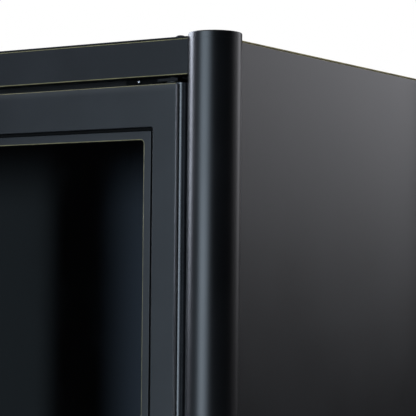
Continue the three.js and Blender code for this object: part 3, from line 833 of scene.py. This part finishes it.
FRAME_CORNERS = (1.4 * MM, 2.4 * MM)  # the outer and inner rectangle's corner radii
BEAD_CORNERS = (1.6 * MM, 4.0 * MM)
GASKET_DEPTH = 3.4 * MM  # behind the door's face


def add_door():
    """The door's front frame, its glazing bead with a worn inner edge, and its body."""
    section = rounded_section("door_frame", 1.0 * MM, 0.9 * MM, 6)
    swept_ring("door_frame_rolled", "door_frame", section, "door_paint", radii=FRAME_CORNERS)
    _, inner, (near, _) = ring_of("glazing_bead")
    bead_edges = (("Y", near, spread(*inner[:2]), spread(*inner[2:]), BEAD_CORNERS[1]),)
    M["bead_paint"] = painted(
        "bead_paint", PAINT, 0.34, bead_edges, 1.0 * MM, worn_share=0.75, specular=0.34
    )
    section = rounded_section("glazing_bead", 0.7 * MM, 0.7 * MM, 5)
    swept_ring("glazing_bead_rolled", "glazing_bead", section, "bead_paint", radii=BEAD_CORNERS)
    refined("door_body", 0.4 * MM, "door_plastic")


def add_glazing_gasket():
    """A near-black rubber strip that fills the groove between frame and bead: painted shade there.
    """
    outer = ring_of("door_frame")[1]
    inner = ring_of("glazing_bead")[0]
    front = DOOR_LOW.y + GASKET_DEPTH
    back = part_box("outer_glass")[0].y - 0.2 * MM
    slack, ease = 0.05 * MM, 0.5 * MM
    section = [("out", slack, back), ("out", slack, front + ease), ("out", ease, front)]
    section += [("in", -ease, front), ("in", -slack, front + ease), ("in", -slack, back)]
    mesh = swept("glazing_gasket", outer, inner, section, (FRAME_CORNERS[1], BEAD_CORNERS[0]))
    place_piece("glazing_gasket", mesh, "shaded_gasket_rubber", "door", weighted=True)


add_door()
add_glazing_gasket()
for pane in ("outer_glass", "inner_glass"):
    refined(pane, 0.5 * MM, "tinted_glass")


# ---- Wires, rods and pipes ----
def add_tube(bm, path, radius, closed=False, steps=16, flat=1.0):
    """A round tube along a path of points, with flat ends. flat scales it along Y."""
    count = len(path)
    rings = []
    side = None
    for i, here in enumerate(path):
        before = path[i - 1] if i or closed else here
        after = path[(i + 1) % count] if i + 1 < count or closed else here
        ahead = (after - before).normalized()
        if side is None:
            side = ahead.orthogonal().normalized()
        side = (side - ahead * side.dot(ahead)).normalized()
        up = ahead.cross(side)
        ring = []
        for k in range(steps):
            angle = 2 * pi * k / steps
            offset = (side * cos(angle) + up * sin(angle)) * radius
            offset.y *= flat
            ring.append(bm.verts.new(here + offset))
        rings.append(ring)
    pairs = list(zip(rings, rings[1:]))
    if closed:
        best = min(range(steps), key=lambda k: (rings[0][k].co - rings[-1][0].co).length)
        pairs.append((rings[-1], rings[0][best:] + rings[0][:best]))
    for a, b in pairs:
        for k in range(steps):
            m = (k + 1) % steps
            bm.faces.new((a[k], a[m], b[m], b[k]))
    if not closed:
        bm.faces.new(rings[0])
        bm.faces.new(rings[-1])


def rounded_path(x0, x1, y0, y1, z, radius, steps=8):
    """A level rectangle with rounded corners."""
    points = []
    for x, y, start in ((x1, y1, 0), (x0, y1, 90), (x0, y0, 180), (x1, y0, 270)):
        cx = x - radius if x == x1 else x + radius
        cy = y - radius if y == y1 else y + radius
        corner = arc((cx, cy), radius, start, start + 90, steps)
        points += [Vector((px, py, z)) for px, py in corner]
    return points


def serpentine(left, right, y, bottom, pitch, rows, side, angles):
    """A path of level runs that half turns join. side is the first run's direction along X.

    angles are the places of the points on a turn, in degrees from level.
    """
    path = []
    for row in range(rows):
        z = bottom + pitch * row
        start, end = (left, right) if side > 0 else (right, left)
        path += [Vector((start, y, z)), Vector((end, y, z))]
        if row + 1 < rows:
            for angle in angles:
                a = radians(angle)
                x = end + side * pitch / 2 * cos(a)
                path.append(Vector((x, y, z + pitch / 2 + pitch / 2 * sin(a))))
        side = -side
    return path


SHELF_WIRES = 25
SHELF_CORNER = 14 * MM
WIRE_MARGIN = 11 * MM  # from the shelf's side to its first thin wire
CROSSBARS = (0.33, 0.67)  # their places, as shares of the shelf's depth


def add_shelf(node):
    """Chrome wire shelf: a round outer wire, two bars across, and thin wires from front to rear."""
    low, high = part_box(node)
    thick = (high.z - low.z) / 2
    thin = 1.3 * MM
    x0, x1 = low.x + thick, high.x - thick
    y0, y1 = low.y + thick, high.y - thick
    z = low.z + thick
    bm = bmesh.new()
    add_tube(bm, rounded_path(x0, x1, y0, y1, z, SHELF_CORNER), thick, closed=True)
    for share in CROSSBARS:
        y = low.y + (high.y - low.y) * share
        below = z - 0.9 * MM
        add_tube(bm, (Vector((x0, y, below)), Vector((x1, y, below))), 1.6 * MM)
    top, foot = high.z - thin, z - 1 * MM
    bend = 1.5 * MM
    width = high.x - low.x - 2 * WIRE_MARGIN
    for i in range(SHELF_WIRES):
        x = low.x + WIRE_MARGIN + width * i / (SHELF_WIRES - 1)
        points = ((y0, foot), (y0 + bend, top), (y1 - bend, top), (y1, foot))
        add_tube(bm, [Vector((x, y, height)) for y, height in points], thin, steps=10)
    place_piece(f"{node}_wires", finished(bm, node), "shelf_wire", "cabinet", node, sharp=50)


for level in ("upper", "middle", "lower"):
    add_shelf(f"shelf_{level}")


COIL_PASSES = 12
FIN_WIRES = 25
FIN_WIRE = 0.75 * MM  # radius
FIN_OVERRUN = 4 * MM  # past the coil's top and bottom
STAY_X = 120 * MM  # the rear panel's stays, which the inner wires leave out
STAY_CLEAR = 4 * MM


def add_condenser():
    """A serpentine tube between two rows of thin upright wires."""
    low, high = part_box("condenser_coil")
    radius = (high.y - low.y) / 2
    y = (low.y + high.y) / 2
    first, last = low.z + radius, high.z - radius
    pitch = (last - first) / (COIL_PASSES - 1)
    half = high.x - radius - pitch / 2
    bm = bmesh.new()
    path = serpentine(-half, half, y, first, pitch, COIL_PASSES, -1, range(-78, 79, 12))
    add_tube(bm, path, radius)
    for i in range(FIN_WIRES):
        x = (i / (FIN_WIRES - 1) - 0.5) * 2 * (half - 8 * MM)
        for away in (-1, 1):
            if away < 0 and abs(abs(x) - STAY_X) < STAY_CLEAR:
                continue
            at = y + away * (radius + FIN_WIRE * 0.8)
            ends = (Vector((x, at, low.z - FIN_OVERRUN)), Vector((x, at, high.z + FIN_OVERRUN)))
            add_tube(bm, ends, FIN_WIRE, steps=8)
    mesh = finished(bm, "condenser")
    place_piece("condenser_wired", mesh, "bracket_paint", "cabinet", "condenser_coil", sharp=50)


add_condenser()

STANDOFF_INSET = 25 * MM  # from the ends of the handle's bar


def add_handle():
    """A round bar with eased ends on two collared standoffs."""
    low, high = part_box("door_handle")
    radius = (high.x - low.x) / 2
    x, y = (low.x + high.x) / 2, low.y + radius
    ease = 2 * MM
    half = (high.z - low.z) / 2
    bar = [(0, -half)] + arc((radius - ease, -half + ease), ease, -90, 0)
    bar += arc((radius - ease, half - ease), ease, 0, 90) + [(0, half)]
    bm = bmesh.new()
    piece = turned_mesh("bar", bar, 64)
    piece.transform(Matrix.Translation((x, y, (low.z + high.z) / 2)))
    bm.from_mesh(piece)
    reach = high.y - y
    post = [(0, 0), (5 * MM, 0), (5 * MM, reach - 5 * MM), (5.4 * MM, reach - 3.4 * MM)]
    post += [(7.4 * MM, reach - 2.6 * MM), (7.8 * MM, reach - 2 * MM)]
    post += [(7.8 * MM, reach), (0, reach)]
    for z in (low.z + STANDOFF_INSET, high.z - STANDOFF_INSET):
        piece = turned_mesh("standoff", post, 48)
        turn = Matrix.Rotation(radians(-90), 4, "X")
        piece.transform(Matrix.Translation((x, y, z)) @ turn)
        bm.from_mesh(piece)
    mesh = finished(bm, "handle")
    place_piece("door_handle_bar", mesh, "handle_paint", "door", "door_handle", sharp=40)


add_handle()


# ---- Door seal ----
def add_seal():
    """A magnetic gasket with one bellows fold, its section the same on both sides."""
    y0, y1 = ring_of("door_seal")[2]
    depth = y1 - y0
    wall = (
        (0, y0),
        (0, y0 + 0.18 * depth),
        (2.6 * MM, y0 + 0.42 * depth),
        (0.4 * MM, y0 + 0.66 * depth),
        (0.9 * MM, y1 - 0.5 * MM),
        (1.5 * MM, y1),
    )
    section = [("out", inset, y) for inset, y in wall]
    section += [("in", -inset, y) for inset, y in reversed(wall)]
    seal = swept_ring("door_seal_bellows", "door_seal", section, "seal_rubber", sharp=60)
    bevel = seal.modifiers.new("soft_edges", "BEVEL")
    bevel.width = 0.45 * MM
    bevel.segments = 3
    bevel.angle_limit = radians(25)


add_seal()


# ---- Screws ----
def carved(mesh, cutter):
    """The mesh with the cutter's shape taken away: both in millimetres, the result in metres."""
    body, tool = (bpy.data.objects.new("temporary", m) for m in (mesh, cutter))
    for item in (body, tool):
        scene.collection.objects.link(item)
    cut = body.modifiers.new("cut", "BOOLEAN")
    cut.object = tool
    cut.solver = "EXACT"
    bpy.context.view_layer.update()
    depsgraph = bpy.context.evaluated_depsgraph_get()
    result = bpy.data.meshes.new_from_object(body.evaluated_get(depsgraph))
    for item in (body, tool):
        bpy.data.objects.remove(item)
    result.transform(Matrix.Scale(MM, 4))
    return result


def cross_prism(reach, half, low, high, turn):
    """An upright plus-shaped prism, turned by some degrees."""
    outline = []
    for quarter in range(4):
        for u, v in ((half, half), (reach, half), (reach, -half)):
            a = radians(turn - 90 * quarter)
            outline.append((u * cos(a) - v * sin(a), u * sin(a) + v * cos(a)))
    bm = bmesh.new()
    rings = [[bm.verts.new((x, y, z)) for x, y in outline] for z in (low, high)]
    bm.faces.new(rings[0])
    bm.faces.new(rings[1])
    for i in range(len(outline)):
        j = (i + 1) % len(outline)
        bm.faces.new((rings[0][i], rings[0][j], rings[1][j], rings[1][i]))
    return finished(bm, "recess")


def screw_mesh(head, height, shank, length):
    """A domed screw with a cross recess, from sizes in millimetres. Its head stands on z 0."""
    profile = [(0, -length), (shank * 0.6, -length), (shank, -length + 0.6 * shank)]
    z = -length + shank
    while z < -1.2:
        profile += [(shank, z), (shank * 0.84, z + 0.35), (shank, z + 0.7)]
        z += 0.9
    profile += [(shank, 0), (head - 0.1, 0), (head, 0.12), (head, height * 0.25)]
    dome = (0.2, 0.4, 0.6, 0.8, 1.0, 1.2, 1.4)
    profile += [(head * cos(a), height * (0.25 + 0.75 * sin(a))) for a in dome]
    profile += [(0, height)]
    recess = cross_prism(head * 0.52, head * 0.09, height * 0.45, height * 2, 20)
    return carved(turned_mesh("screw", profile, 40), recess)


HINGE_SCREW_HEAD = 1.8  # its height in millimetres, as all of screw_mesh's sizes are
SCREWS = {
    "pan": screw_mesh(2.7, HINGE_SCREW_HEAD, 1.7, 9),
    "truss": screw_mesh(4.7, 2.3, 1.9, 4),
    "small": screw_mesh(3.4, 1.9, 1.6, 4),
}


def add_screw(name, kind, place, axis, material="fastener_steel", nodes=()):
    """A screw in the cabinet, its head's underside at a place and its head facing along an axis."""
    mesh = SCREWS[kind].copy()
    turn = Vector(axis).to_track_quat("Z", "Y").to_matrix().to_4x4()
    mesh.transform(Matrix.Translation(place) @ turn)
    place_piece(name, mesh, material, "cabinet", *nodes, sharp=30)


def side_name(x):
    return "right" if x > 0 else "left"


for end in ("top", "bottom"):
    for number in (1, 2):
        node = f"hinge_screw_{end}_{number}"
        low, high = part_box(node)
        middle = (low + high) / 2
        place = (middle.x, low.y + HINGE_SCREW_HEAD * MM, middle.z)
        add_screw(f"{node}_cross", "pan", place, (0, -1, 0), nodes=(node,))

TOP_SCREW_IN = (41 * MM, 8 * MM)  # from the top sheet's side, and from its front or rear
top_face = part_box("top_panel")[1].z
for x in (-1, 1):
    for y, inward in ((FRONT_Y, 1), (REAR_Y, -1)):
        place = (x * (SIDE_X - TOP_SCREW_IN[0]), y + inward * TOP_SCREW_IN[1], top_face)
        name = f"top_screw_{side_name(x)}_{'front' if inward > 0 else 'rear'}"
        add_screw(name, "truss", place, (0, 0, 1), "bracket_paint")

# Up the rear panel: the share of its height, and how far in from the cabinet's side. The first
# and last are further in, beside the posts.
REAR_SCREWS = ((0.03, 44 * MM), (0.35, 10 * MM), (0.67, 10 * MM), (0.97, 44 * MM))
PANEL_LOW, PANEL_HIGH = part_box("rear_panel")
number = 0
for x in (-1, 1):
    for share, inward in REAR_SCREWS:
        number += 1
        z = PANEL_LOW.z + (PANEL_HIGH.z - PANEL_LOW.z) * share
        add_screw(f"rear_screw_{number}", "small", (x * (SIDE_X - inward), REAR_Y, z), (0, 1, 0))

KICK_SCREW_X = 185 * MM
kick_low, kick_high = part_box("kick_rail")
for x in (-1, 1):
    place = (x * KICK_SCREW_X, kick_low.y, (kick_low.z + kick_high.z) / 2)
    add_screw(f"kick_screw_{side_name(x)}", "small", place, (0, -1, 0), "bracket_paint")

INLET_SCREW_OUT = 3 * MM  # beside the mains inlet
inlet_low, inlet_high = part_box("mains_inlet")
inlet_screws = (inlet_low.x - INLET_SCREW_OUT, inlet_high.x + INLET_SCREW_OUT)
for number, x in enumerate(inlet_screws, 1):
    place = (x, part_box("base_pan")[1].y, (inlet_low.z + inlet_high.z) / 2)
    add_screw(f"inlet_screw_{number}", "small", place, (0, 1, 0))


# ---- Cooling system ----
def add_compressor():
    """A welded steel shell: a bowl and a lid that overlap in a bead round the middle."""
    low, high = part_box("compressor")
    height = high.z - low.z
    lip = 3 * MM
    radius = (high.x - low.x) / 2 - lip
    bead = 0.56 * height
    shell = [(0, 0), (radius * 0.70, 0)]
    for a in (0.3, 0.6, 0.9, 1.2, pi / 2):
        shell.append((radius * (0.70 + 0.30 * sin(a)), 0.26 * height * (1 - cos(a))))
    shell += [
        (radius, bead - 5 * MM),
        (radius + 1 * MM, bead - 3 * MM),
        (radius + lip, bead - 2 * MM),
        (radius + lip, bead + 2 * MM),
        (radius + 1 * MM, bead + 3 * MM),
        (radius - 0.4 * MM, bead + 4 * MM),
    ]
    top = bead + 0.12 * height
    for i in range(12):
        a = pi / 2 * i / 11
        across = (radius - 0.4 * MM) * cos(a) ** 0.62
        shell.append((max(0, across), top + (height - top) * sin(a)))
    shell = [(r, low.z + z) for r, z in shell]
    stand("compressor_shell", shell, 96, "compressor_paint", "compressor", sharp=32)


add_compressor()


def add_drier():
    """A copper cartridge with its two ends spun down to the pipe."""
    low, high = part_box("filter_drier")
    z0, z1 = low.z, high.z
    spun = (0.6, 1.2, 1.8, 2.4, pi)
    profile = [(0, z0), (3 * MM, z0), (3 * MM, z0 + 11 * MM)]
    profile += [((6 - 3 * cos(a)) * MM, z0 + (12 + 9 * a / pi) * MM) for a in spun]
    profile += [(9 * MM, z1 - 21 * MM)]
    profile += [((6 + 3 * cos(a)) * MM, z1 + (-21 + 9 * a / pi) * MM) for a in spun]
    profile += [(3 * MM, z1 - 11 * MM), (3 * MM, z1), (0, z1)]
    stand("filter_drier_spun", profile, 48, "copper_pipe", "filter_drier")


add_drier()


def add_grommet(number):
    """A rubber grommet with a groove for the compressor's plate, and the bolt through it."""
    node = f"compressor_grommet_{number}"
    low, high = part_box(node)
    z0, z1 = low.z, high.z
    bore, neck, flange, cap = 1.6 * MM, 5 * MM, 9 * MM, 8 * MM
    lower = z1 - 5.5 * MM
    ease = 1.2 * MM
    profile = [(bore, z0)] + arc((flange - ease, z0 + ease), ease, -90, 0, 4)
    profile += arc((flange - ease, lower - ease - 0.3 * MM), ease, 0, 90, 4)
    profile += [(neck, lower - 0.3 * MM), (neck, lower + 2.8 * MM)]
    profile += arc((cap - ease, z1 - ease), ease, -60, 90, 6) + [(bore, z1)]
    stand(f"{node}_moulded", profile, 48, "seal_rubber", node)
    middle = (low + high) / 2
    add_screw(f"compressor_bolt_{number}", "truss", (middle.x, middle.y, z1), (0, 0, 1))


for number in range(1, 5):
    add_grommet(number)

CHANNEL_ROWS = 7
CHANNEL_IN = (24 * MM, 28 * MM)  # from the plate's sides, and from its top and bottom
CHANNEL_RADIUS = 4 * MM
CHANNEL_FLATTENED = 0.45


def add_evaporator():
    """A plate with a raised, flattened channel in a serpentine."""
    refined("evaporator_plate", 0.6 * MM, "evaporator_coat")
    low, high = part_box("evaporator_plate")
    left, right = low.x + CHANNEL_IN[0], high.x - CHANNEL_IN[0]
    bottom = low.z + CHANNEL_IN[1]
    pitch = (high.z - low.z - 2 * CHANNEL_IN[1]) / (CHANNEL_ROWS - 1)
    turn = range(-75, 76, 15)
    path = serpentine(left, right, low.y, bottom, pitch, CHANNEL_ROWS, 1, turn)
    bm = bmesh.new()
    add_tube(bm, path, CHANNEL_RADIUS, steps=20, flat=CHANNEL_FLATTENED)
    mesh = finished(bm, "channel")
    place_piece("evaporator_channel", mesh, "evaporator_coat", "cabinet", sharp=50)


add_evaporator()


# ---- Controls ----
KNOB_FLUTES = 24
FLUTE_DEPTH = 0.45 * MM
SPINDLE = 3.2 * MM  # radius


def add_knob():
    """A fluted knob with a raised pointer, on its spindle."""
    low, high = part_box("thermostat_knob")
    radius = (high.x - low.x) / 2
    x, z = (low.x + high.x) / 2, (low.z + high.z) / 2
    front = low.y + 1.5 * MM
    back = front + 11.7 * MM
    bm = bmesh.new()
    steps = 192
    section = (  # radius, y, share of the flutes' depth
        (0.0, front, 0),
        (radius - 2.2 * MM, front, 0),
        (radius - 1.2 * MM, front + 0.5 * MM, 0.4),
        (radius - 0.7 * MM, front + 1.6 * MM, 1),
        (radius, back - 1.5 * MM, 1),
        (radius, back - 1.2 * MM, 0),
        (radius, back, 0),
        (SPINDLE, back, 0),
        (SPINDLE, high.y, 0),
        (0.0, high.y, 0),
    )
    rings = []
    for r, y, flute in section:
        if r == 0:
            rings.append([bm.verts.new((x, y, z))])
            continue
        ring = []
        for i in range(steps):
            a = 2 * pi * i / steps
            rr = r - flute * FLUTE_DEPTH * (0.5 + 0.5 * cos(KNOB_FLUTES * a)) ** 2
            ring.append(bm.verts.new((x + rr * cos(a), y, z + rr * sin(a))))
        rings.append(ring)
    for a, b in zip(rings, rings[1:]):
        for i in range(steps):
            j = (i + 1) % steps
            bm.faces.new(once(a[i % len(a)], a[j % len(a)], b[j % len(b)], b[i % len(b)]))
    knob = finished(bm, "knob")
    name = "thermostat_knob_fluted"
    place_piece(name, knob, "control_plastic", "thermostat_knob", "thermostat_knob")
    pointer = bmesh.new()
    made = bmesh.ops.create_cube(pointer, size=1)["verts"]
    bmesh.ops.scale(pointer, vec=(1.8 * MM, 1.8 * MM, radius - 2.5 * MM), verts=made)
    bmesh.ops.translate(pointer, vec=(x, front - 0.4 * MM, z + radius / 2 + 0.4 * MM), verts=made)
    bmesh.ops.bevel(
        pointer, geom=pointer.edges[:], offset=0.4 * MM, segments=3, profile=0.5, affect="EDGES"
    )
    mesh = finished(pointer, "pointer")
    place_piece("thermostat_pointer", mesh, "lens_plastic", "thermostat_knob")


add_knob()


# ---- Pieces that take their CAD shape, with eased edges ----
FINE = {  # the edges' radius in millimetres, and the material
    "control_box": (0.9, "control_plastic"),
    "lamp_switch": (0.35, "control_plastic"),
    "lamp_lens": (0.8, "lens_plastic"),
    "terminal_cover": (2.5, "control_plastic"),
    "compressor_plate": (0.5, "zinc_sheet"),
    "drip_tray": (0.8, "control_plastic"),
    "mains_inlet": (0.3, "control_plastic"),
    "hinge_bracket_top": (0.35, "bracket_paint"),
    "hinge_bracket_bottom": (0.35, "bracket_paint"),
    "glass_spacer": (0.2, "spacer_aluminium"),
    "inner_liner": (0.6, "liner_plastic"),
}
for node, (ease, material) in FINE.items():
    refined(node, ease * MM, material)

for node in ("hinge_bush_top", "hinge_bush_bottom"):
    refined(node, 0.2 * MM, "bush_plastic", sharp=30)
refined("hinge_pin_top", 0.4 * MM, "bracket_paint")


# ---- CAD nodes that stay, with a material: the foam as it is, the pipes smoothed ----
frame["nodes"]["insulation"].material_slots[0].material = M["insulation_foam"]
for node in ("discharge_pipe", "suction_pipe"):
    pipe = frame["nodes"][node]
    pipe.material_slots[0].material = M["copper_pipe"]
    weld = pipe.modifiers.new("weld", "WELD")
    weld.merge_threshold = 0.002 * MM
    smooth = pipe.modifiers.new("smooth", "SUBSURF")
    smooth.levels = smooth.render_levels = 2
